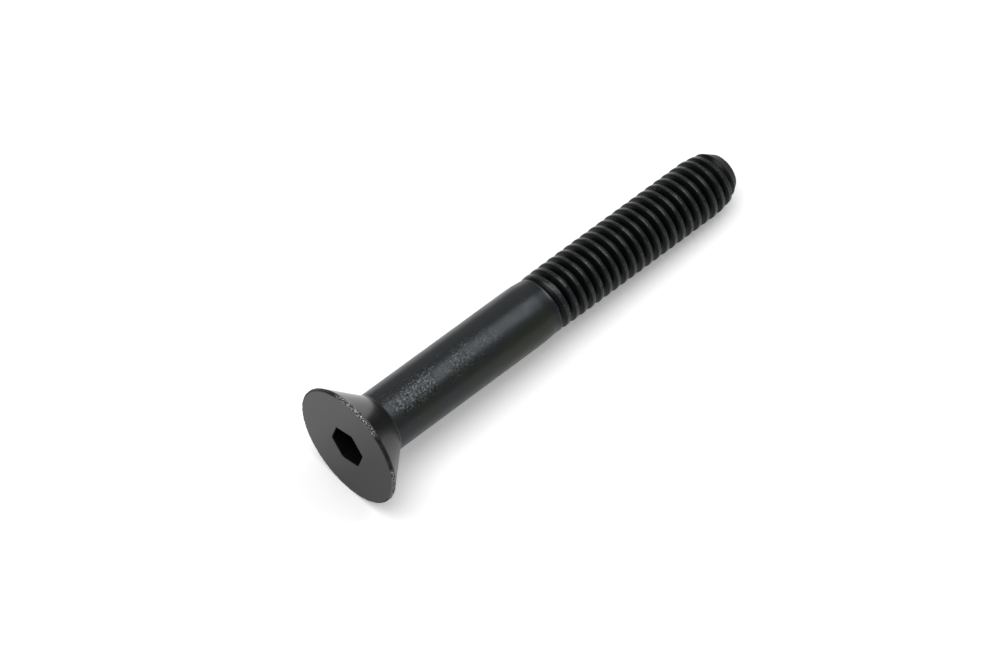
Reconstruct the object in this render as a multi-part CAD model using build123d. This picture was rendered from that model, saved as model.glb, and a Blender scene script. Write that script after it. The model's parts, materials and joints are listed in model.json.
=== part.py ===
from build123d import *
import os
from math import atan2, ceil, cos, degrees, radians, sin, tan

# Flat countersunk head socket cap screw, 5/16-18 UNC x 2-1/2 in, black oxide alloy steel.
# One piece: the head is upset from wire, the socket is punched and the thread is rolled on.
#
# Millimetres. The screw is drawn along its own axis, with the flat of the head at 0 and the
# point towards +Z. It is then laid on its side on the plane Z = 0, where it rests on the rim
# of the head and on its thread, so that its axis dips a little towards the point, along +X.

INCH = 25.4

# Head. The length of a countersunk screw is measured over its head.
LENGTH = 2.5 * INCH
HEAD_DIAMETER = 15.95
HEAD_LAND = 0.41  # the straight rim between the flat of the head and its cone
HEAD_ANGLE = 82.0  # the whole angle of the cone
HEAD_EDGE_CHAMFER = 0.07
HEAD_BLEND = 0.3  # how far the easing between cone and shank reaches along each of them

# Hexagon socket for a 3/16 in key
SOCKET_FLATS = 4.78
SOCKET_DEPTH = 3.6
SOCKET_POINT_ANGLE = 120.0  # the whole angle of the hollow point below the hexagon
SOCKET_CHAMFER = 0.06
SOCKET_TURN = 14.1  # degrees from the underside of the lying screw to a corner

# Shank. The threaded end is as long on every length of screw, and the plain shank varies.
SHANK_DIAMETER = 7.92
THREADED_END = 34.8  # from the end of the full shank to the point
NECK_DIAMETER = 7.42
NECK_TAPER = 3.2  # from the full shank down to the neck
CREST_RISE = 4.6  # from the neck up to the first full crest

# Rolled thread, 5/16-18 UNC. The groove is drawn down to a sharp root.
PITCH = INCH / 18
FLANK_ANGLE = 60.0  # the whole angle between two flanks
THREAD_DIAMETER = 7.84  # over the crests
PITCH_LINE_DEPTH = 0.42  # from the crests in to where groove and ridge are equally wide
THREAD_START = 33.55  # from the point back to where the groove begins, below the surface
RUNOUT_START = 33.0  # from the point back to where the groove surfaces
RUNOUT_LENGTH = 2.8  # over which the groove comes to its full depth

# Point
POINT_LENGTH = 1.64
POINT_DIAMETER = 4.86
POINT_SHOULDER = 7.06
POINT_EDGE_CHAMFER = 0.25
LAST_THREADS = 2.46  # over which the crests fall away to the point's shoulder

# Heights along the axis that follow from the sizes above
HEAD_HEIGHT = HEAD_LAND + (HEAD_DIAMETER - SHANK_DIAMETER) / 2 / tan(radians(HEAD_ANGLE / 2))
SHANK_END = LENGTH - THREADED_END
NECK_HEIGHT = SHANK_END + NECK_TAPER
FIRST_CREST = NECK_HEIGHT + CREST_RISE
SHOULDER_HEIGHT = LENGTH - POINT_LENGTH
LAST_CREST = SHOULDER_HEIGHT - LAST_THREADS

# How far the axis dips towards the point when the screw lies at rest
REST_DIP = degrees(atan2((HEAD_DIAMETER - THREAD_DIAMETER) / 2, LAST_CREST - HEAD_LAND))

# Radius of the sharp root. On the pitch line half a pitch is groove and half is ridge.
ROOT = THREAD_DIAMETER / 2 - PITCH_LINE_DEPTH - PITCH / 4 / tan(radians(FLANK_ANGLE / 2))

CUTTER_OVERRUN = 0.1  # how far the groove's section reaches out past the crests
SWEEPS_PER_TURN = 2  # the groove is swept in short lengths, which join into clean flanks


def outline():
    """Half section of the blank, as (radius, height), from the flat of the head to the point."""
    rim = HEAD_DIAMETER / 2
    shank = SHANK_DIAMETER / 2
    cone_tilt = radians(HEAD_ANGLE / 2)
    point = POINT_DIAMETER / 2
    return [
        (rim - HEAD_EDGE_CHAMFER, 0),
        (rim, HEAD_EDGE_CHAMFER),
        (rim, HEAD_LAND),
        (shank + HEAD_BLEND * sin(cone_tilt), HEAD_HEIGHT - HEAD_BLEND * cos(cone_tilt)),
        (shank, HEAD_HEIGHT + HEAD_BLEND),
        (shank, SHANK_END),
        (NECK_DIAMETER / 2, NECK_HEIGHT),
        (THREAD_DIAMETER / 2, FIRST_CREST),
        (THREAD_DIAMETER / 2, LAST_CREST),
        (POINT_SHOULDER / 2, SHOULDER_HEIGHT),
        (point, LENGTH - POINT_EDGE_CHAMFER),
        (point - POINT_EDGE_CHAMFER, LENGTH),
    ]


def turned_blank():
    """The screw before its socket is punched and its thread is rolled."""
    section = make_face(Plane.XZ * Polyline((0, 0), *outline(), (0, LENGTH), close=True))
    return revolve(section, Axis.Z)


def socket():
    """The hexagon socket, with the hollow point that its punch leaves at the bottom."""
    hexagon = RegularPolygon(SOCKET_FLATS / 2, 6, major_radius=False, rotation=SOCKET_TURN)
    prism = extrude(hexagon, SOCKET_DEPTH)
    mouth = extrude(offset(hexagon, SOCKET_CHAMFER, kind=Kind.INTERSECTION), SOCKET_CHAMFER, taper=45)
    point_height = SOCKET_FLATS / 2 / tan(radians(SOCKET_POINT_ANGLE / 2))
    point = Pos(0, 0, SOCKET_DEPTH) * Cone(
        SOCKET_FLATS / 2, 0, point_height, align=(Align.CENTER, Align.CENTER, Align.MIN)
    )
    return prism + mouth + point


def groove_section():
    """Axial section of the thread groove: a V between two flanks, open past the crests."""
    outside = THREAD_DIAMETER / 2 + CUTTER_OVERRUN
    half_width = (outside - ROOT) * tan(radians(FLANK_ANGLE / 2))
    return make_face(Polyline((ROOT, 0), (outside, half_width), (outside, -half_width), close=True))


def runout():
    """The metal that the groove climbs out of at its start: a cone that narrows to the root."""
    surface = SHANK_DIAMETER / 2
    slope = (surface - ROOT) / RUNOUT_LENGTH
    reach = PITCH  # how far the cone goes on past each end of the run-out
    cone = Cone(
        surface + slope * reach,
        ROOT - slope * reach,
        RUNOUT_LENGTH + 2 * reach,
        align=(Align.CENTER, Align.CENTER, Align.MIN),
    )
    return Pos(0, 0, LENGTH - RUNOUT_START - reach) * cone


def swept_length():
    """One swept length of the thread groove, starting level with height 0."""
    path = Helix(PITCH, PITCH / SWEEPS_PER_TURN, THREAD_DIAMETER / 2)
    return sweep(Plane.XZ * groove_section(), path, is_frenet=True)


def thread_groove():
    """The helical groove, length joined to length, from its run-out on out through the point."""
    rise = PITCH / SWEEPS_PER_TURN
    turn = 360 / SWEEPS_PER_TURN
    length_count = SWEEPS_PER_TURN * (ceil(THREAD_START / PITCH) + 1)
    first = Pos(0, 0, LENGTH - THREAD_START) * swept_length()
    others = [Pos(0, 0, rise * n) * Rot(0, 0, turn * n) * first for n in range(1, length_count)]
    return first + others - runout()


def lay_down(part, blank):
    """The part turned on its side, with its lowest line on Z = 0 and centred over the origin."""
    turn = Rot(0, 90 + REST_DIP, 0)
    box = (turn * blank).bounding_box()
    return Pos(-box.center().X, -box.center().Y, -box.min.Z) * turn * part


def flat_head_socket_screw():
    """The whole screw, lying at rest."""
    blank = turned_blank()
    return lay_down(blank - socket() - thread_groove(), blank)


def main():
    """Builds the screw and writes it."""
    os.makedirs("parts", exist_ok=True)
    export_step(flat_head_socket_screw(), "parts/flat_head_socket_screw.step")


if __name__ == "__main__":
    main()
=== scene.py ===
"""Looks of a flat countersunk head screw with a hexagon socket, in black oxide steel, lying at rest.

The screw is one piece. It is modelled in millimetres on its own axis, with the flat of the head at
height 0 and the point upwards, and is then laid down in the frame of the CAD model, in metres.
"""

import json
import logging
import math
from collections.abc import Callable, Iterator
from contextlib import contextmanager
from dataclasses import dataclass, field
from enum import Enum, auto
from functools import partial
from random import Random

import bmesh
import bpy
import numpy as np
from bmesh.types import BMEdge
from bpy.types import Material, Node, NodeSocket, NodeTree, Object
from mathutils import Matrix, Vector


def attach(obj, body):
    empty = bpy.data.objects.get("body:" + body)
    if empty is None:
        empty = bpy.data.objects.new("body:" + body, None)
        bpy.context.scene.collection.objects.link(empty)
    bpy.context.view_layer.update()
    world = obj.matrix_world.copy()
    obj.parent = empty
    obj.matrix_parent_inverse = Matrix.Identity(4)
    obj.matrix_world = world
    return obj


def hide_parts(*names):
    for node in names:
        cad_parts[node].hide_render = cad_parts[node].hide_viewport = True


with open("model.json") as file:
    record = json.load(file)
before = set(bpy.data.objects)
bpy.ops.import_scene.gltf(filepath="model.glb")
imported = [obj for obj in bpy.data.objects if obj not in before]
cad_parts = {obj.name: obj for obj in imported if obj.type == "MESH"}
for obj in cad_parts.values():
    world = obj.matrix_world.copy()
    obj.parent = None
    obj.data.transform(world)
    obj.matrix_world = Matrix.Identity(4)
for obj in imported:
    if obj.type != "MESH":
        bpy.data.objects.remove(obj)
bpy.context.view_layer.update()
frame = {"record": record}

NODE = "flat_head_socket_screw"
MM = 0.001  # one millimetre, in the frame's metres
INCH = 25.4
SAME_PLACE = 1e-4  # millimetres, closer than any two corners that are meant to be apart

log = logging.getLogger("screw")


# ---- Small tools for modelling by hand ----


@dataclass(frozen=True)
class Corner:
    """A corner of a turned outline: its radius and height, and how much it is rounded."""

    radius: float
    height: float
    rounding: float = 0.0


def rounded(corners: list[Corner], pieces: int) -> list[tuple[float, float]]:
    """Rounds the corners of an outline.

    Args:
        corners: the outline's corners in order. The first and the last stay as they are.
        pieces: how many straight pieces stand for the arc at a corner.

    Returns:
        The outline as (radius, height) pairs.
    """
    points = [(corners[0].radius, corners[0].height)]
    for before, corner, after in zip(corners, corners[1:], corners[2:]):
        here = Vector((corner.radius, corner.height))
        back = (Vector((before.radius, before.height)) - here).normalized()
        on = (Vector((after.radius, after.height)) - here).normalized()
        half_angle = back.angle(on) / 2
        if corner.rounding == 0:
            points.append(tuple(here))
            continue
        reach = corner.rounding / math.tan(half_angle)
        centre = here + (back + on).normalized() * corner.rounding / math.sin(half_angle)
        start = here + back * reach - centre
        end = here + on * reach - centre
        sweep = math.pi - 2 * half_angle
        for number in range(pieces + 1):
            share = number / pieces
            spoke = start * math.sin((1 - share) * sweep) + end * math.sin(share * sweep)
            points.append(tuple(centre + spoke / math.sin(sweep)))
    points.append((corners[-1].radius, corners[-1].height))
    return points


def lesser(first: np.ndarray, second: np.ndarray, blend: float) -> np.ndarray:
    """The lesser of two values, without a kink where they cross.

    Args:
        first: one array of values.
        second: the other.
        blend: the difference over which the step from one to the other is eased.

    Returns:
        The values that are taken.
    """
    return (first + second - np.sqrt((first - second) ** 2 + blend**2)) / 2


def pick(item: Object) -> None:
    """Makes an object the only one that is selected, and the active one.

    Args:
        item: the object.
    """
    for other in bpy.context.selected_objects:
        other.select_set(False)
    item.select_set(True)
    bpy.context.view_layer.objects.active = item


@contextmanager
def editing(item: Object) -> Iterator[None]:
    """Opens an object in edit mode with nothing selected, and closes it again.

    Args:
        item: the object.

    Yields:
        Nothing, while the object is open.
    """
    pick(item)
    bpy.ops.object.mode_set(mode="EDIT")
    bpy.ops.mesh.select_all(action="DESELECT")
    yield
    bpy.ops.object.mode_set(mode="OBJECT")


def level(edge: BMEdge, height: float) -> bool:
    """Whether an edge lies level at a height."""
    return all(abs(corner.co.z - height) < SAME_PLACE for corner in edge.verts)


def open_at(edge: BMEdge, height: float) -> bool:
    """Whether an edge is an open one that lies level at a height."""
    return len(edge.link_faces) < 2 and level(edge, height)


def within(edge: BMEdge, radius: float) -> bool:
    """Whether an edge lies nearer to the screw's axis than a radius."""
    return all(corner.co.xy.length < radius for corner in edge.verts)


def select_edges(item: Object, wanted: Callable[[BMEdge], bool]) -> None:
    """Selects the edges of a mesh in edit mode that pass a test, and no others.

    Args:
        item: the object in edit mode.
        wanted: the test that an edge has to pass.
    """
    bpy.ops.mesh.select_mode(type="EDGE")
    bpy.ops.mesh.select_all(action="DESELECT")
    mesh = bmesh.from_edit_mesh(item.data)
    for edge in [edge for edge in mesh.edges if wanted(edge)]:
        edge.select_set(True)
    bmesh.update_edit_mesh(item.data)


def draw_out(points: list[tuple[float, float]]) -> None:
    """Extrudes the selected loop from ring to ring.

    Args:
        points: each ring's (radius, height). The first is where the loop is now, and the radius
            of a loop with corners is taken across its flats.
    """
    for (radius, height), (next_radius, next_height) in zip(points, points[1:]):
        rise = (0, 0, next_height - height)
        scale = next_radius / radius
        bpy.ops.mesh.extrude_edges_move(TRANSFORM_OT_translate={"value": rise})
        bpy.ops.transform.resize(value=(scale, scale, 1), center_override=(0, 0, next_height))


def corners_of(item: Object) -> np.ndarray:
    """Reads the corners of a mesh.

    Args:
        item: the object with the mesh.

    Returns:
        The corners' places, as rows of x, y and z.
    """
    places = np.empty(3 * len(item.data.vertices))
    item.data.vertices.foreach_get("co", places)
    return places.reshape(-1, 3)


def close_up(item: Object) -> None:
    """Merges corners that share a place, and turns all faces outwards.

    Args:
        item: the object with the mesh.
    """
    with editing(item):
        bpy.ops.mesh.select_all(action="SELECT")
        bpy.ops.mesh.remove_doubles(threshold=SAME_PLACE)
        bpy.ops.mesh.normals_make_consistent(inside=False)


def join(first: Object, *others: Object) -> Object:
    """Joins objects into one.

    Args:
        first: the object that the others become part of.
        others: the others, which are gone afterwards.

    Returns:
        The first object.
    """
    pick(first)
    for item in others:
        item.select_set(True)
    bpy.ops.object.join()
    return first


# ---- The screw. Sizes in millimetres, and angles in radians ----


@dataclass
class Blank:
    """The turned outline that the head, the shank, the thread and the point all keep to.

    The sizes without a value here are those that the CAD model's record states.
    """

    length: float
    head_radius: float
    shank_radius: float
    crest_radius: float
    shank_end: float
    flat_margin: float = 0.4  # the ring of the head's flat that is drawn out together with the rim
    rim_rounding: float = 0.1
    land: float = 0.41
    land_rounding: float = 0.08
    rim_height: float = 0.35  # how far past the land the rim's dents can reach
    cone_half_angle: float = math.radians(41)
    neck_fillet: float = 0.45
    bend_radius: float = 3.93
    bend_length: float = 1.2  # from the end of the full shank to where it falls off to the neck
    taper_easing: float = 12.0
    neck_radius: float = 3.79
    neck_taper: float = 2.6
    neck_easing: float = 2.0
    first_crest_radius: float = 3.87
    first_crest_rise: float = 1.0
    crest_rise: float = 2.6
    crest_spare: float = 0.25  # how far the outline clears the full crests, which stay whole
    last_threads: float = 2.46
    shoulder_radius: float = 3.53
    shoulder_rounding: float = 0.6
    point_length: float = 1.64
    point_radius: float = 2.43
    point_rounding: float = 0.3
    end_share: float = 0.3  # of the point's radius, at which its flat is closed
    arc_pieces: int = 6

    @property
    def head_height(self) -> float:
        """Height where the cone under the head meets the shank."""
        return self.land + (self.head_radius - self.shank_radius) / math.tan(self.cone_half_angle)

    def cone_corner(self, height: float) -> Corner:
        """A place on the cone under the head, which parts the rim's dents from the smooth cone."""
        fall = (height - self.land) * math.tan(self.cone_half_angle)
        return Corner(self.head_radius - fall, height)

    def corners(self) -> list[Corner]:
        """Works out the corners of the outline.

        Returns:
            The corners, from the flat of the head to the flat of the point.
        """
        neck = self.shank_end + self.neck_taper
        shoulder = self.length - self.point_length
        first_crest = neck + self.first_crest_rise
        rise = (self.crest_radius - self.first_crest_radius) / self.crest_rise
        fall = (self.crest_radius - self.shoulder_radius) / self.last_threads
        peak = self.crest_radius + self.crest_spare
        return [
            Corner(self.head_radius - self.flat_margin, 0),
            Corner(self.head_radius, 0, self.rim_rounding),
            Corner(self.head_radius, self.land, self.land_rounding),
            self.cone_corner(self.land + self.rim_height),
            Corner(self.shank_radius, self.head_height, self.neck_fillet),
            Corner(self.shank_radius, self.shank_end, self.taper_easing),
            Corner(self.bend_radius, self.shank_end + self.bend_length, self.taper_easing),
            Corner(self.neck_radius, neck, self.neck_easing),
            Corner(self.first_crest_radius, first_crest, self.neck_easing),
            Corner(peak, first_crest + self.crest_rise + self.crest_spare / rise),
            Corner(peak, shoulder - self.last_threads - self.crest_spare / fall),
            Corner(self.shoulder_radius, shoulder, self.shoulder_rounding),
            Corner(self.point_radius, self.length, self.point_rounding),
            Corner(self.end_share * self.point_radius, self.length),
        ]

    def outline(self) -> list[tuple[float, float]]:
        """The rounded outline, as (radius, height) pairs."""
        return rounded(self.corners(), self.arc_pieces)

    def radius_at(self, heights: np.ndarray) -> np.ndarray:
        """The outline's radius at each of some heights between the land and the end."""
        radii, steps = np.array(self.outline()).T
        return np.interp(heights, steps, radii)

    def at(self, height: float) -> tuple[float, float]:
        """The outline's (radius, height) at a height."""
        return (float(self.radius_at(np.array([height]))[0]), height)


@dataclass(frozen=True)
class Nicks:
    """Small dents that the screws knock into each other's edges in the drum.

    Heights, depths and half widths each run from the least to the most.
    """

    number: int
    heights: tuple[float, float]
    depths: tuple[float, float]
    half_widths: tuple[float, float]
    seed: int

    def knock(self, item: Object, places: np.ndarray, edge: np.ndarray) -> None:
        """Puts the corners of a mesh in place, with those on an edge pushed in where dents are.

        Args:
            item: the object with the mesh.
            places: where its corners go without dents, as rows of x, y and z.
            edge: which of them are on the edge.
        """
        draw = Random(self.seed)
        x, y, z = places[edge].T
        radii = np.hypot(x, y)
        angles = np.arctan2(y, x)
        dents = np.zeros(len(z))
        for _ in range(self.number):
            angle = draw.uniform(-math.pi, math.pi)
            height = draw.uniform(*self.heights)
            depth = draw.uniform(*self.depths)
            half_width = draw.uniform(*self.half_widths)
            turn = (angles - angle + math.pi) % math.tau - math.pi
            away = np.hypot(turn * radii, z - height) / half_width
            dents = np.maximum(dents, depth * np.clip(1 - away**2, 0, 1))
        places[edge, :2] *= (1 - dents / np.maximum(radii, SAME_PLACE))[:, None]
        item.data.vertices.foreach_set("co", places.ravel())
        item.data.update()


@dataclass
class Socket:
    """The hexagon socket that is punched into the head."""

    flats_radius: float
    depth: float
    turn: float = math.radians(14.1)  # from the underside of the lying screw to a corner
    corner_rounding: float = 0.16
    mouth_rounding: float = 0.09
    arc_pieces: int = 4
    drill_half_angle: float = math.radians(60)
    drill_share: float = 0.98  # of the flats' radius, where the drilled hollow begins
    drill_segments: int = 48
    tip_share: float = 0.05  # of the hollow, which is closed at that distance from its tip

    @property
    def mouth(self) -> float:
        """Radius across the flats of the mouth."""
        return self.flats_radius + self.mouth_rounding

    def trace_mouth(self) -> Object:
        """Adds the socket's mouth.

        Returns:
            An object that is a loop of edges, with no face.
        """
        quarter = math.pi / 2  # a circle's first corner is a quarter turn on from the underside
        bpy.ops.mesh.primitive_circle_add(
            vertices=6,
            radius=self.mouth / math.cos(math.pi / 6),
            rotation=(0, 0, self.turn - quarter),
        )
        item = bpy.context.object
        bpy.ops.object.transform_apply()
        with editing(item):
            bpy.ops.mesh.select_all(action="SELECT")
            bpy.ops.mesh.bevel(offset=self.corner_rounding, segments=self.arc_pieces, affect="VERTICES")
        return item

    def punch(self, item: Object) -> None:
        """Sinks the socket and its drilled hollow into the flat of the head.

        Args:
            item: the flat, with the mouth as an open edge.
        """
        walls = [
            Corner(self.mouth, 0),
            Corner(self.flats_radius, 0, self.mouth_rounding),
            Corner(self.flats_radius, self.depth),
        ]
        drop = self.flats_radius / math.tan(self.drill_half_angle)
        tip = self.depth + (1 - self.tip_share) * drop
        with editing(item):
            select_edges(item, lambda edge: open_at(edge, 0) and within(edge, 2 * self.mouth))
            draw_out(rounded(walls, self.arc_pieces)[1:])  # the rounding starts at the mouth
            bpy.ops.mesh.primitive_circle_add(
                vertices=self.drill_segments,
                radius=self.drill_share * self.flats_radius,
                location=(0, 0, self.depth),
            )
            select_edges(item, lambda edge: open_at(edge, self.depth))
            bpy.ops.mesh.fill(use_beauty=True)
            select_edges(item, lambda edge: level(edge, self.depth) and within(edge, self.flats_radius))
            draw_out([(1, self.depth), (self.tip_share, tip)])
            bpy.ops.mesh.edge_face_add()


@dataclass
class Head:
    """The flat of the head with its socket, and the rim, cone and shank that are turned below."""

    blank: Blank
    socket: Socket
    shank_top: float
    segments: int = 384
    dented_width: float = 0.3  # how far in from the rim its dents reach
    nicks: Nicks = Nicks(160, (-0.1, 0.6), (0.02, 0.08), (0.12, 0.35), seed=3)

    def build(self) -> Object:
        """Models the head and the plain shank.

        Returns:
            An object that is open at the shank's end.
        """
        start = self.blank.corners()[0].radius
        item = self.socket.trace_mouth()
        with editing(item):
            bpy.ops.mesh.primitive_circle_add(vertices=self.segments, radius=start)
            bpy.ops.mesh.select_all(action="SELECT")
            bpy.ops.mesh.fill(use_beauty=True)
        self.socket.punch(item)
        below = [point for point in self.blank.outline() if point[1] < self.shank_top]
        with editing(item):
            select_edges(item, lambda edge: open_at(edge, 0) and not within(edge, start / 2))
            draw_out([*below, self.blank.at(self.shank_top)])
        close_up(item)
        places = corners_of(item)
        radii = np.hypot(places[:, 0], places[:, 1])
        self.nicks.knock(item, places, radii > self.blank.head_radius - self.dented_width)
        return item


@dataclass
class Thread:
    """The rolled thread: a helical groove in the blank, with its run-out and its last threads."""

    blank: Blank
    pitch: float
    start: float  # height of a groove's middle, on the underside
    bottom: float
    top: float
    pitch_line_depth: float = 0.22  # from the crests in to where groove and ridge are as wide
    flank_half_angle: float = math.radians(30)
    root_rounding: float = 0.06
    crest_rounding: float = 0.04
    crest_level: float = 0.2  # how much of the crest is level, from its edge towards the head
    crest_fall: float = 0.03  # how far the rest of the crest falls away towards the point
    crest_bend: float = 0.5  # rounding between the two
    arc_pieces: int = 3
    runout_start: float = 30.5
    runout_length: float = 2.8
    easing: float = 0.03
    segments: int = 128
    dented_depth: float = 0.1  # how far below the full crests their dents reach
    nicks: Nicks = Nicks(150, (32.6, 62.0), (0.02, 0.06), (0.15, 0.4), seed=7)

    @property
    def sharp_root(self) -> float:
        """Radius at which the flanks of a groove would meet."""
        quarter = self.pitch / 4 / math.tan(self.flank_half_angle)
        return self.blank.crest_radius - self.pitch_line_depth - quarter

    def tooth(self) -> list[tuple[float, float]]:
        """Works out one pitch of the thread's section.

        Returns:
            Its (radius, height) pairs, from the middle of a groove to that of the next.
        """
        slope = math.tan(self.flank_half_angle)
        crest = self.blank.crest_radius
        half_groove = (crest - self.sharp_root) * slope
        floor = self.sharp_root + self.root_rounding / math.sin(self.flank_half_angle)
        floor -= self.root_rounding
        half_floor = (floor - self.sharp_root) * slope
        crest_end = self.pitch - half_groove + self.crest_fall * slope
        section = [
            Corner(floor, 0),
            Corner(floor, half_floor, self.root_rounding),
            Corner(crest, half_groove, self.crest_rounding),
            Corner(crest, half_groove + self.crest_level, self.crest_bend),
            Corner(crest - self.crest_fall, crest_end, self.crest_rounding),
            Corner(floor, self.pitch - half_floor, self.root_rounding),
            Corner(floor, self.pitch),
        ]
        return rounded(section, self.arc_pieces)

    def build(self) -> Object:
        """Models the threaded length.

        Returns:
            An object that is open at both its ends, at bottom and at top.
        """
        first = self.start - 2 * self.pitch
        item = self.trace_tooth(first)
        bpy.ops.object.modifier_add(type="SCREW")
        helix = item.modifiers[-1]
        helix.screw_offset = self.pitch
        helix.iterations = math.ceil((self.top - first) / self.pitch)
        helix.steps = self.segments
        helix.render_steps = self.segments
        helix.use_merge_vertices = True
        helix.merge_threshold = SAME_PLACE
        bpy.ops.object.modifier_apply(modifier=helix.name)
        close_up(item)
        self.fit_to_blank(item)
        with editing(item):
            for height, lower, upper in ((self.bottom, True, False), (self.top, False, True)):
                bpy.ops.mesh.select_all(action="SELECT")
                bpy.ops.mesh.bisect(
                    plane_co=(0, 0, height),
                    plane_no=(0, 0, 1),
                    clear_inner=lower,
                    clear_outer=upper,
                    threshold=SAME_PLACE,
                )
        return item

    def trace_tooth(self, start: float) -> Object:
        """Adds the thread's section.

        Args:
            start: height of the middle of the section's first groove.

        Returns:
            An object that is a chain of edges, with no face.
        """
        section = self.tooth()
        radius, height = section[0]
        bpy.ops.mesh.primitive_plane_add(size=self.pitch, location=(radius, 0, start + height))
        item = bpy.context.object
        bpy.ops.object.transform_apply()
        with editing(item):
            bpy.ops.mesh.select_mode(type="VERT")
            bpy.ops.mesh.select_all(action="SELECT")
            bpy.ops.mesh.merge(type="CENTER")
            for (radius, height), (next_radius, next_height) in zip(section, section[1:]):
                step = (next_radius - radius, 0, next_height - height)
                bpy.ops.mesh.extrude_vertices_move(TRANSFORM_OT_translate={"value": step})
        return item

    def fit_to_blank(self, item: Object) -> None:
        """Lets the groove climb out of the metal at its start, and keeps the crests to the blank.

        The corners move in and out only, so that they stay on their lines round the helix.

        Args:
            item: the whole helix.
        """
        places = corners_of(item)
        radii = np.hypot(places[:, 0], places[:, 1])
        surface = self.blank.radius_at(places[:, 2])
        depth = self.blank.shank_radius - self.sharp_root
        left = 1 - (places[:, 2] - self.runout_start) / self.runout_length
        climbed = radii + depth * np.clip(left, 0, 1)
        fitted = lesser(climbed, surface, self.easing)
        plain = places[:, 2] < self.bottom + SAME_PLACE
        fitted[plain] = surface[plain]
        places[:, :2] *= (fitted / radii)[:, None]
        crest = self.blank.crest_radius - self.dented_depth
        self.nicks.knock(item, places, (fitted > crest) & ~plain)


@dataclass
class Point:
    """The end of the screw: a short cone with a rounded edge, closed by a flat."""

    blank: Blank
    start: float

    def build(self, item: Object) -> None:
        """Draws the thread's open end out into the point, and closes it.

        Args:
            item: the thread.
        """
        rest = [point for point in self.blank.outline() if point[1] > self.start]
        with editing(item):
            select_edges(item, lambda edge: open_at(edge, self.start))
            draw_out([self.blank.at(self.start), *rest])
            bpy.ops.mesh.edge_face_add()


@dataclass
class Screw:
    """The whole screw, from its record and its sub-assemblies to the finished piece."""

    record: dict
    name: str = "screw"
    length: float = 2.5 * INCH
    pitch: float = INCH / 18
    joint_height: float = 29.6  # where the shank is joined to the thread
    point_height: float = 63.1  # where the thread's last groove has run out into the point
    runout_groove: float = 33.63  # from the point back to a groove's middle on the underside
    rim_trim: float = 0.004  # the finer facets then stay inside the CAD model's
    end_trim: float = 0.008
    smooth_angle: float = math.radians(40)

    def mount(self, name: str) -> dict:
        """A mount of the record, by its name."""
        return next(mount for mount in self.record["mounts"] if mount["name"] == name)

    @property
    def head_centre(self) -> Vector:
        """The middle of the head's flat, in the frame."""
        return Vector(self.mount("key_socket")["pos_m"])

    @property
    def dip(self) -> float:
        """The angle by which the axis dips towards the point."""
        axis = self.mount("plain_shank")["axis"]
        return math.atan2(-axis[2], axis[0])

    def blank(self) -> Blank:
        """Works out the outline's sizes from those that the record states.

        Returns:
            The outline.
        """
        shank = self.mount("plain_shank")
        middle = (Vector(shank["pos_m"]) - self.head_centre).length / MM
        return Blank(
            length=self.length - self.end_trim,
            head_radius=self.mount("countersink_cone")["dims"]["r_mm"] - self.rim_trim,
            shank_radius=shank["dims"]["r_mm"],
            crest_radius=self.mount("thread")["dims"]["r_mm"],
            shank_end=middle + shank["dims"]["length_mm"] / 2,
        )

    def build(self) -> Object:
        """Models the screw on its own axis, lays it down and puts it in its CAD node's place.

        Returns:
            The finished piece.
        """
        blank = self.blank()
        key = self.mount("key_socket")["dims"]
        head = Head(blank, Socket(key["r_mm"], key["length_mm"]), self.joint_height).build()
        log.info("head and shank: %d faces", len(head.data.polygons))
        groove = blank.length - self.runout_groove
        thread = Thread(blank, self.pitch, groove, self.joint_height, self.point_height).build()
        Point(blank, self.point_height).build(thread)
        log.info("thread and point: %d faces", len(thread.data.polygons))
        piece = join(head, thread)
        with editing(piece):
            select_edges(piece, lambda edge: open_at(edge, self.joint_height))
            bpy.ops.mesh.bridge_edge_loops()
        close_up(piece)
        self.lay_down(piece)
        self.smooth(piece)
        piece.name = self.name
        piece.data.name = self.name
        piece.data.materials.clear()
        piece.data.materials.append(BlackOxide().material(self.head_centre, self.dip))
        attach(piece, "root")
        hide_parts(NODE)
        return piece

    def lay_down(self, piece: Object) -> None:
        """Turns the screw on its side where the CAD model lies, and makes it metres.

        Args:
            piece: the whole screw.
        """
        turn = Matrix.Rotation(math.pi / 2 + self.dip, 4, "Y")
        move = Matrix.Translation(self.head_centre)
        piece.matrix_world = move @ turn @ Matrix.Scale(MM, 4)
        pick(piece)
        bpy.ops.object.transform_apply(location=True, rotation=True, scale=True)

    def smooth(self, piece: Object) -> None:
        """Shades the screw smooth across its roundings, with its flats kept flat.

        Args:
            piece: the whole screw.
        """
        pick(piece)
        bpy.ops.object.shade_smooth_by_angle(angle=self.smooth_angle)
        bpy.ops.object.modifier_add(type="WEIGHTED_NORMAL")
        weighting = piece.modifiers[-1]
        weighting.keep_sharp = True
        bpy.ops.object.modifier_apply(modifier=weighting.name)


# ---- Finishes ----

Span = tuple[float, float]
Output = Node | NodeSocket

PRODUCT = {"operation": "MULTIPLY"}
GREATEST = {"operation": "MAXIMUM"}


def linear(colour: str) -> tuple[float, float, float, float]:
    """Turns an sRGB colour into the linear one that shaders take.

    Args:
        colour: six hex digits, two each for red, green and blue.

    Returns:
        Red, green, blue and an alpha of 1.
    """
    shares = [int(colour[at : at + 2], 16) / 255 for at in (0, 2, 4)]
    curve = [s / 12.92 if s <= 0.04045 else ((s + 0.055) / 1.055) ** 2.4 for s in shares]
    return (*curve, 1.0)


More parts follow.
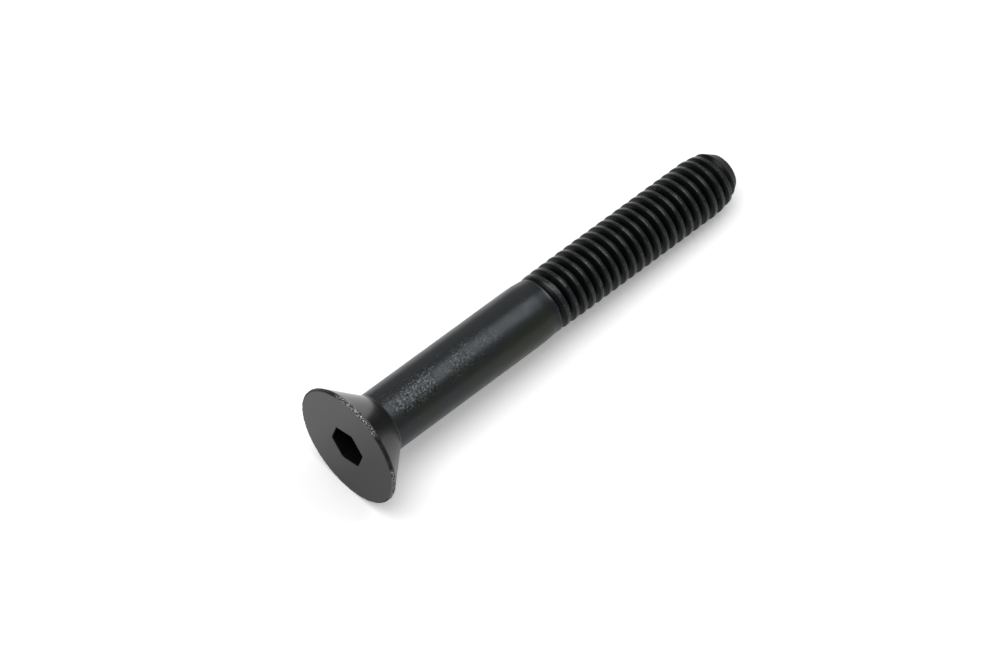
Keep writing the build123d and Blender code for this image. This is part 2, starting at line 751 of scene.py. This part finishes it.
def add_node(
    tree: NodeTree, kind: str, settings: dict | None = None, links: dict | list | None = None
) -> Node:
    """Adds a node, or a chain of them.

    Args:
        tree: the node tree that it goes into.
        kind: the node's type, without its prefix.
        settings: its properties by name, and its unlinked inputs by name or number.
        links: what feeds each of its other inputs, by name or number. A node stands for its
            first output. A list is joined two by two, with a node for each after the first.

    Returns:
        The node, or the last of the chain.
    """
    if isinstance(links, list):
        *before, last = links
        first = before[0] if len(before) == 1 else add_node(tree, kind, settings, before)
        links = {0: first, 1: last}
    node = tree.nodes.new("ShaderNode" + kind)
    for name, value in (settings or {}).items():
        if isinstance(name, str) and hasattr(node, name):
            setattr(node, name, value)
        else:
            node.inputs[name].default_value = value
    for name, source in (links or {}).items():
        output = source.outputs[0] if isinstance(source, Node) else source
        tree.links.new(output, node.inputs[name])
    return node


def ramp(ends: Span, results: Span = (0.0, 1.0)) -> dict[str, float]:
    """Settings that turn a value between two ends into one between two results."""
    return dict(zip(("From Min", "From Max", "To Min", "To Max"), (*ends, *results)))


@dataclass(frozen=True)
class Grain:
    """An irregular pattern: the size of its coarsest grains in millimetres, and its finer detail."""

    size: float
    detail: float
    strength: float = 0.5

    def settings(self) -> dict[str, float]:
        """Settings of the pattern's node."""
        return {"Scale": 1 / self.size, "Detail": self.detail, "Roughness": self.strength}


class Zone(Enum):
    """The parts of the screw's surface that have looks of their own."""

    HEAD = auto()
    # the rim's land: painted dark as a dark reflection, and rougher and worn
    RIM = auto()
    DIE_LINE = auto()
    # the thread's darker film, which begins by the neck as painted shade
    THREAD = auto()
    # painted shade in the thread's grooves
    GROOVE = auto()
    CREST = auto()
    POINT = auto()
    NEAR_SIDE = auto()


@dataclass
class BlackOxide:
    """Alloy steel blackened hot in salts and oiled: a thin film of magnetite on a bright metal.

    The film is dark and takes up nearly all light that isn't mirrored at once, so the eye sees
    a satin black that has only reflections in it: cool where they are lamps, and pale only
    where they graze. It grows in crystals, whose light faces and dark pits are put only where
    the key lamp's highlight falls on the shank, as painted glints and painted shade. Where the
    screws rub against each other in the drum, edges show specks of bare steel. The grooves and
    the rim's land are painted darker, as shade and as a dark reflection.

    Heights, radii and reaches are in millimetres, and sides in degrees round from the underside.
    A span of them runs from where a look begins to where it is full, and so does a span of noise,
    which is a share of its pattern's range.
    """

    # The film, and how much of it mirrors. The rest scatters a little, as an oxide does
    film: str = "3b3e40"
    head_film: str = "3e3e3e"
    # darker on the thread, and by the neck it paints the fading of the shank's highlight as shade
    thread_film_and_neck_shade: str = "343637"
    metallic: float = 0.88
    roughness: float = 0.32  # of the drawn shank
    head_roughness: float = 0.18  # of the head, which its die has pressed smooth
    shine_grain: Grain = Grain(1.25, 4)
    shine_noise: Span = (0.3, 0.7)
    shine_spread: Span = (0.85, 1.15)  # share of the roughness, from patch to patch
    head_heights: Span = (5.3, 4.9)
    # painted shade: the thread's darker film begins here, to fade the shank's highlight by the neck
    neck_shade_heights: Span = (29.8, 31.2)

    # The faint unevenness that drawing leaves on the shank
    wave_grain: Grain = Grain(1.6, 2)
    wave_height: float = 0.02

    # An olive stain of dried salt and oil, on the side that hung lowest
    olive_film: str = "3b3f37"
    stain_grain: Grain = Grain(5.0, 3)
    stain_noise: Span = (0.4, 0.6)
    near_side: Span = (-1.8, -3.2)  # across the lying screw

    # Crystals, with light faces and dark pits, which are thickest below the head. They lie only on
    #     # the side where the key lamp's highlight falls: painted glints, and painted shade in the
    #     pits.
    # The real ones are finer, and would be too fine to tell apart
    crystal_and_painted_glint: str = "686c6f"
    crystal_grain: Grain = Grain(0.16, 2, 0.7)
    crystal_height: float = 0.03
    crystal_heights: Span = (27.0, 8.0)
    crystal_start: Span = (5.2, 6.0)
    # the side and the reach of the key lamp's highlight on the shank, where the glints are painted
    key_highlight_side: float = 197
    key_highlight_reach: Span = (3.4, 3.75)
    patch_grain: Grain = Grain(2.8, 3)
    patch_noise: Span = (0.4, 0.56)
    least_patch: float = 0.15
    glint_grain: Grain = Grain(0.26, 3, 0.6)
    glint_noise: Span = (0.53, 0.63)
    pit_noise: Span = (0.47, 0.37)

    # A dark film that paints shade in the grooves, a dark reflection on the rim's land and shade in
    # # the pits among the glints, and a rougher finish on the rim and on the point
    painted_shade_film: str = "1c1d1e"
    worn_roughness: float = 0.5
    rim_radii: Span = (7.73, 7.78)
    rim_unevenness: float = 0.2
    rim_grain: Grain = Grain(0.11, 2)
    point_heights: Span = (61.9, 62.1)
    threaded_heights: Span = (31.3, 31.5)
    # heights, and the radii there that part groove from crest: by the neck, and by the point
    crest_limits: tuple[tuple[Span, Span], ...] = (
        ((31.3, 34.5), (3.76, 3.885)),
        ((59.3, 61.9), (3.885, 3.48)),
    )
    # painted shade: how far below the crests' limit the grooves are darkened
    groove_shade_depths: Span = (0.0, -0.04)
    crest_heights: Span = (0.0, 0.02)

    # Bare steel: on the rim and the crests, on the fine line that the die's end leaves by the
    #     # neck, and in single specks. The line is put only on the arc under the key lamp's highlight,
    #     # so it is partly a painted glint
    steel: str = "b8b8b8"
    wear_grain: Grain = Grain(0.11, 1)
    rim_noise: Span = (0.5, 0.62)
    worn_arcs: tuple[tuple[float, Span], ...] = ((188, (7.0, 7.3)), (272, (7.2, 7.5)))
    least_wear: float = 0.12
    crest_noise: Span = (0.64, 0.74)
    most_crest_wear: float = 0.5
    line_height: float = 31.5
    line_distances: Span = (0.08, 0.03)
    # the arc under the key lamp's highlight, where the line's glint is painted
    line_highlight_side: float = 188
    line_reach: Span = (3.45, 3.7)
    line_wear: float = 0.1
    speck_spacing: float = 1.5
    speck_radius: float = 0.07
    speck_core: float = 0.7  # share of its radius
    speck_wear: float = 0.35

    # What the material is built with
    add: Callable[..., Node] = field(init=False)  # add_node, for the material's own tree
    place: Node = field(init=False)  # in millimetres, on the screw's own axis
    zones: dict[Zone, Output] = field(init=False)  # the share that each has at the place

    def material(self, head_centre: Vector, dip: float) -> Material:
        """Builds the node material.

        Args:
            head_centre: the middle of the head's flat, in the frame.
            dip: the angle by which the screw's axis dips towards its point.

        Returns:
            The material, with its patterns in millimetres along the screw's own axis.
        """
        made = bpy.data.materials.new("black_oxide")
        made.use_nodes = True
        tree = made.node_tree
        shader = tree.nodes["Principled BSDF"]
        shader.inputs["Metallic"].default_value = self.metallic
        self.add = partial(add_node, tree)
        settings = {
            "vector_type": "TEXTURE",
            "Location": head_centre,
            "Rotation": (0, math.pi / 2 + dip, 0),
            "Scale": (MM, MM, MM),
        }
        links = {"Vector": self.add("TexCoord").outputs["Object"]}
        self.place = self.add("Mapping", settings, links)
        self.zones = self.part_zones()
        cover = self.crystal_cover()
        for value, name in (
            (self.colour(cover), "Base Color"),
            (self.shine(), "Roughness"),
            (self.relief(cover), "Normal"),
        ):
            tree.links.new(value.outputs[0], shader.inputs[name])
        return made

    def colour(self, cover: Node) -> Node:
        """Adds the colour, with each layer over the ones before it.

        Args:
            cover: how thickly crystals cover the place.

        Returns:
            The node that holds the colour.
        """
        glints, pits = self.glints(cover)
        stain = self.add("TexNoise", self.stain_grain.settings(), {"Vector": self.place})
        stain = self.add("MapRange", ramp(self.stain_noise), {"Value": stain})
        stain = self.add("Math", PRODUCT, [stain, self.zones[Zone.NEAR_SIDE]])
        films = {1: linear(self.film), 2: linear(self.olive_film)}
        colour = self.add("MixRGB", films, {0: stain})
        for layer, share in (
            (self.head_film, self.zones[Zone.HEAD]),
            # the thread's darker film, and painted shade that fades the highlight by the neck
            (self.thread_film_and_neck_shade, self.zones[Zone.THREAD]),
            # painted glints of the crystals, under the key lamp's highlight
            (self.crystal_and_painted_glint, glints),
            # painted shade in the pits among the crystals' glints
            (self.painted_shade_film, pits),
            # painted dark reflection on the rim's land
            (self.painted_shade_film, self.zones[Zone.RIM]),
            # painted shade in the thread's grooves
            (self.painted_shade_film, self.zones[Zone.GROOVE]),
            (self.steel, self.bare_steel()),
        ):
            colour = self.add("MixRGB", {2: linear(layer)}, {0: share, 1: colour})
        return colour

    def reach_to(self, side: float) -> NodeSocket:
        """Adds how far the place lies out from the axis towards one side.

        Args:
            side: degrees round from the underside of the lying screw.

        Returns:
            The output with the reach in millimetres.
        """
        turn = math.radians(side)
        settings = {"operation": "DOT_PRODUCT", 1: (math.cos(turn), math.sin(turn), 0)}
        return self.add("VectorMath", settings, {0: self.place}).outputs["Value"]

    def part_zones(self) -> dict[Zone, Output]:
        """Adds the share that each zone has at the place.

        Returns:
            What holds each zone's share, from 0 outside it to 1 inside.
        """
        parts = self.add("SeparateXYZ", {}, {"Vector": self.place}).outputs
        across = self.add("VectorMath", {**PRODUCT, 1: (1, 1, 0)}, {0: self.place})
        radius = self.add("VectorMath", {"operation": "LENGTH"}, {0: across})
        radius = radius.outputs["Value"]
        groove, crest = self.groove_and_crest(parts["Z"], radius)
        zones = {
            Zone.RIM: self.rim(radius),
            Zone.DIE_LINE: self.die_line(parts["Z"]),
            Zone.GROOVE: groove,
            Zone.CREST: crest,
        }
        for zone, measure, ends in (
            (Zone.HEAD, "Z", self.head_heights),
            (Zone.THREAD, "Z", self.neck_shade_heights),
            (Zone.POINT, "Z", self.point_heights),
            (Zone.NEAR_SIDE, "Y", self.near_side),
        ):
            zones[zone] = self.add("MapRange", ramp(ends), {"Value": parts[measure]})
        return zones

    def rim(self, radius: Output) -> Node:
        """Adds the share of the head's rim, which has an uneven border.

        There the film is darkened as a painted dark reflection, and made rougher and worn.

        Args:
            radius: the place's distance from the axis.

        Returns:
            The node that holds the share.
        """
        spread = self.rim_unevenness
        grain = self.add("TexNoise", self.rim_grain.settings(), {"Vector": self.place})
        settings = {"operation": "MULTIPLY_ADD", 1: spread, 2: -spread / 2}
        uneven = self.add("Math", settings, {0: grain})
        uneven = self.add("Math", {"operation": "ADD"}, [radius, uneven])
        return self.add("MapRange", ramp(self.rim_radii), {"Value": uneven})

    def die_line(self, height: Output) -> Output:
        """Adds the share of the fine line that the end of the die leaves by the neck.

        It is put only on the arc under the key lamp's highlight, so it is partly a painted glint.

        Args:
            height: the place's height on the axis.

        Returns:
            What holds the share.
        """
        settings = {"operation": "SUBTRACT", 1: self.line_height}
        away = self.add("Math", settings, {0: height})
        away = self.add("Math", {"operation": "ABSOLUTE"}, {0: away})
        wear = ramp(self.line_distances, (0.0, self.line_wear))
        line = self.add("MapRange", wear, {"Value": away})
        # only on the arc under the key lamp's highlight: partly a painted glint
        arc = self.add("MapRange", ramp(self.line_reach), {"Value": self.reach_to(self.line_highlight_side)})
        return self.add("Math", PRODUCT, [line, arc])

    def groove_and_crest(self, height: Output, radius: Output) -> list[Output]:
        """Adds the shares of the thread's grooves and crests.

        The grooves' share is where the film is darkened, as painted shade.

        Args:
            height: the place's height on the axis.
            radius: its distance from the axis.

        Returns:
            What holds the two shares.
        """
        limits = [self.add("MapRange", ramp(*limit), {"Value": height}) for limit in self.crest_limits]
        limit = self.add("Math", {"operation": "MINIMUM"}, limits)
        above = self.add("Math", {"operation": "SUBTRACT"}, [radius, limit])
        threaded = self.add("MapRange", ramp(self.threaded_heights), {"Value": height})
        shares = [
            self.add("MapRange", ramp(ends), {"Value": above})
            for ends in (self.groove_shade_depths, self.crest_heights)
        ]
        return [self.add("Math", PRODUCT, [share, threaded]) for share in shares]

    def shine(self) -> Node:
        """Adds the roughness: least on the head, and most on its rim and on the point.

        Returns:
            The node that holds the roughness.
        """
        base = ramp((0.0, 1.0), (self.roughness, self.head_roughness))
        base = self.add("MapRange", base, {"Value": self.zones[Zone.HEAD]})
        patches = self.add("TexNoise", self.shine_grain.settings(), {"Vector": self.place})
        spread = ramp(self.shine_noise, self.shine_spread)
        patches = self.add("MapRange", spread, {"Value": patches})
        base = self.add("Math", PRODUCT, [base, patches])
        worn = [self.zones[Zone.RIM], self.zones[Zone.POINT]]
        links = {"Value": self.add("Math", GREATEST, worn), "To Min": base}
        return self.add("MapRange", {"To Max": self.worn_roughness}, links)

    def crystal_cover(self) -> Output:
        """Adds how thickly crystals cover the shank: in patches, and more towards the head.

        They lie only on the side where the key lamp's highlight falls, where their glints are painted.

        Returns:
            What holds the share.
        """
        height = self.add("SeparateXYZ", {}, {"Vector": self.place}).outputs["Z"]
        noise = self.add("TexNoise", self.patch_grain.settings(), {"Vector": self.place})
        shares = [
            self.add("MapRange", ramp(ends, results), {"Value": value})
            for ends, results, value in (
                (self.crystal_heights, (0.0, 1.0), height),
                (self.patch_noise, (self.least_patch, 1.0), noise),
                (self.crystal_start, (0.0, 1.0), height),
                # only on the side where the key lamp's highlight falls: painted glints
                (self.key_highlight_reach, (0.0, 1.0), self.reach_to(self.key_highlight_side)),
            )
        ]
        return self.add("Math", PRODUCT, shares)

    def glints(self, cover: Output) -> list[Output]:
        """Adds the shares of light crystals and of the dark pits between them.

        These are painted glints and painted shade, put only under the key lamp's highlight.

        Args:
            cover: how thickly crystals cover the place.

        Returns:
            What holds the two shares.
        """
        grain = self.add("TexNoise", self.glint_grain.settings(), {"Vector": self.place})
        shares = [
            self.add("MapRange", ramp(noise), {"Value": grain})
            for noise in (self.glint_noise, self.pit_noise)
        ]
        return [self.add("Math", PRODUCT, [share, cover]) for share in shares]

    def relief(self, cover: Output) -> Node:
        """Adds the relief of the crystals, and the faint waves that the head doesn't have.

        Args:
            cover: how thickly crystals cover the place.

        Returns:
            The node that holds the surface's normal.
        """
        links = {1: self.zones[Zone.HEAD]}
        shank = self.add("Math", {"operation": "SUBTRACT", 0: 1.0}, links)
        relief = {}
        for grain, height, strength in (
            (self.wave_grain, self.wave_height, shank),
            (self.crystal_grain, self.crystal_height, cover),
        ):
            noise = self.add("TexNoise", grain.settings(), {"Vector": self.place})
            links = {"Strength": strength, "Height": noise, **relief}
            relief = {"Normal": self.add("Bump", {"Distance": height * MM}, links)}
        return relief["Normal"]

    def bare_steel(self) -> Output:
        """Adds the share of bare steel: single specks all over, and where edges have rubbed.

        The rim has rubbed most along some arcs, and a little all round.

        Returns:
            What holds the share.
        """
        specks = self.add("TexVoronoi", {"Scale": 1 / self.speck_spacing}, {"Vector": self.place})
        radius = self.speck_radius / self.speck_spacing
        wear = ramp((radius, self.speck_core * radius), (0.0, self.speck_wear))
        specks = self.add("MapRange", wear, {"Value": specks})
        arcs = []
        for side, reach in self.worn_arcs:
            wear = ramp(reach, (self.least_wear, 1.0))
            arcs.append(self.add("MapRange", wear, {"Value": self.reach_to(side)}))
        arcs = self.add("Math", GREATEST, arcs)
        grain = self.add("TexNoise", self.wear_grain.settings(), {"Vector": self.place})
        rim = self.add("MapRange", ramp(self.rim_noise), {"Value": grain})
        rim = self.add("Math", PRODUCT, [rim, self.zones[Zone.RIM], arcs])
        wear = ramp(self.crest_noise, (0.0, self.most_crest_wear))
        crest = self.add("MapRange", wear, {"Value": grain})
        crest = self.add("Math", PRODUCT, [crest, self.zones[Zone.CREST]])
        worn = [rim, crest, self.zones[Zone.DIE_LINE], specks]
        return self.add("Math", GREATEST, worn)


# ---- Studio. Sizes in metres, and angles in degrees ----


@dataclass(frozen=True)
class WhiteBoard:
    """The floor: a matt white board, which the eye sees bright and even apart from the shadow.

    What sees it is given a brighter board than what it lights. The metal mirrors it a little
    dimmer, and more so on the near side, where a room is darker.
    """

    radius: float = 3.0
    segments: int = 96
    colours: Span = (0.77, 1.0)  # for what it lights, and for what sees it
    glow: float = 0.2
    mirrored: Span = (0.88, 0.63)  # how much of it the metal shows, on the far and the near side
    sides: Span = (0.008, 0.001)  # where on the frame's Y axis the two begin

    def lay(self) -> Object:
        """Adds the floor.

        Returns:
            The floor, which keeps the screw's shadow.
        """
        bpy.ops.mesh.primitive_circle_add(vertices=self.segments, radius=self.radius, fill_type="NGON")
        floor = bpy.context.object
        floor.name = "floor"
        floor.data.materials.append(self.material())
        return floor

    def material(self) -> Material:
        """Builds the node material.

        Returns:
            The material, which tells from the kind of ray what sees it.
        """
        made = bpy.data.materials.new("floor")
        made.use_nodes = True
        tree = made.node_tree
        shader = tree.nodes["Principled BSDF"]
        shader.inputs["Roughness"].default_value = 1
        shader.inputs["Specular IOR Level"].default_value = 0
        shader.inputs["Emission Color"].default_value = (1, 1, 1, 1)
        add = partial(add_node, tree)
        path = add("LightPath").outputs
        rays = [path[f"Is {kind} Ray"] for kind in ("Camera", "Glossy", "Transmission")]
        seen = add("Math", GREATEST, rays)
        place = add("TexCoord").outputs["Object"]
        across = add("SeparateXYZ", {}, {"Vector": place}).outputs["Y"]
        mirrored = add("MapRange", ramp(self.sides, self.mirrored), {"Value": across})
        links = {"Value": path["Is Glossy Ray"], "To Max": mirrored}
        share = add("MapRange", {"To Min": 1.0}, links)
        colour = add("MapRange", ramp((0.0, 1.0), self.colours), {"Value": seen})
        glow = add("Math", {**PRODUCT, 1: self.glow}, {0: seen})
        for value, name in ((colour, "Base Color"), (glow, "Emission Strength")):
            value = add("Math", PRODUCT, [value, share])
            tree.links.new(value.outputs[0], shader.inputs[name])
        return made


@dataclass(frozen=True)
class Softbox:
    """A rectangular area lamp that faces the middle of the screw.

    Its width lies level, and its height leans with it. Radiance is that of a lit face, where
    1 is white.
    """

    name: str
    azimuth: float
    elevation: float
    width: float
    height: float
    radiance: float
    distance: float = 1.0

    def hang(self) -> None:
        """Adds the lamp."""
        lamp = bpy.data.lights.new(self.name, "AREA")
        lamp.shape = "RECTANGLE"
        lamp.size = self.width
        lamp.size_y = self.height
        lamp.energy = self.radiance * math.pi * self.width * self.height
        item = bpy.data.objects.new(self.name, lamp)
        bpy.context.scene.collection.objects.link(item)
        azimuth, elevation = math.radians(self.azimuth), math.radians(self.elevation)
        away = math.cos(elevation)
        towards = Vector((away * math.cos(azimuth), away * math.sin(azimuth), math.sin(elevation)))
        item.location = towards * self.distance
        item.rotation_euler = towards.to_track_quat("Z", "Y").to_euler()


@dataclass
class Studio:
    """A white floor under soft light, and the camera."""

    floor: WhiteBoard = WhiteBoard()
    lamps: tuple[Softbox, ...] = (
        Softbox("key", azimuth=-17, elevation=60, width=0.8, height=0.36, radiance=2.25),
        Softbox("fill", azimuth=165, elevation=77, width=0.8, height=0.8, radiance=3.0),
        Softbox("far", azimuth=60, elevation=28, width=0.9, height=0.6, radiance=0.25),
    )
    world_strengths: Span = (0.34, 1.0)  # for what it lights, and for what sees it
    camera_azimuth: float = -43.7
    camera_elevation: float = 55.52
    camera_distance: float = 0.5251
    camera_aim: tuple[float, float, float] = (-0.0053, 0.00125, 0.004)
    lens: float = 155.738  # millimetres, and so is the sensor
    sensor_width: float = 36

    def fill_world(self) -> None:
        """Makes the world a plain white, dimmer for what it lights than for what sees it."""
        world = bpy.data.worlds.new("studio")
        bpy.context.scene.world = world
        world.use_nodes = True
        tree = world.node_tree
        background = tree.nodes["Background"]
        background.inputs["Color"].default_value = (1, 1, 1, 1)
        seen = add_node(tree, "LightPath").outputs["Is Camera Ray"]
        strengths = ramp((0.0, 1.0), self.world_strengths)
        strength = add_node(tree, "MapRange", strengths, {"Value": seen})
        tree.links.new(strength.outputs[0], background.inputs["Strength"])

    def place_camera(self) -> None:
        """Adds the camera, which looks down on the screw from the side of its head."""
        lens = bpy.data.cameras.new("camera")
        lens.lens = self.lens
        lens.sensor_width = self.sensor_width
        camera = bpy.data.objects.new("camera", lens)
        bpy.context.scene.collection.objects.link(camera)
        azimuth = math.radians(self.camera_azimuth)
        elevation = math.radians(self.camera_elevation)
        away = math.cos(elevation)
        towards = Vector((away * math.sin(azimuth), -away * math.cos(azimuth), math.sin(elevation)))
        camera.location = Vector(self.camera_aim) + towards * self.camera_distance
        camera.rotation_euler = towards.to_track_quat("Z", "Y").to_euler()
        bpy.context.scene.camera = camera

    def set_up(self) -> None:
        """Builds the whole studio."""
        self.floor.lay()
        self.fill_world()
        for lamp in self.lamps:
            lamp.hang()
        self.place_camera()
        bpy.context.scene.view_settings.view_transform = "Standard"


def main() -> None:
    """Builds the screw and the studio."""
    logging.basicConfig(level=logging.INFO, format="%(name)s: %(message)s")
    piece = Screw(frame["record"]).build()
    log.info("%s: %d faces", piece.name, len(piece.data.polygons))
    Studio().set_up()


if __name__ == "__main__":
    main()
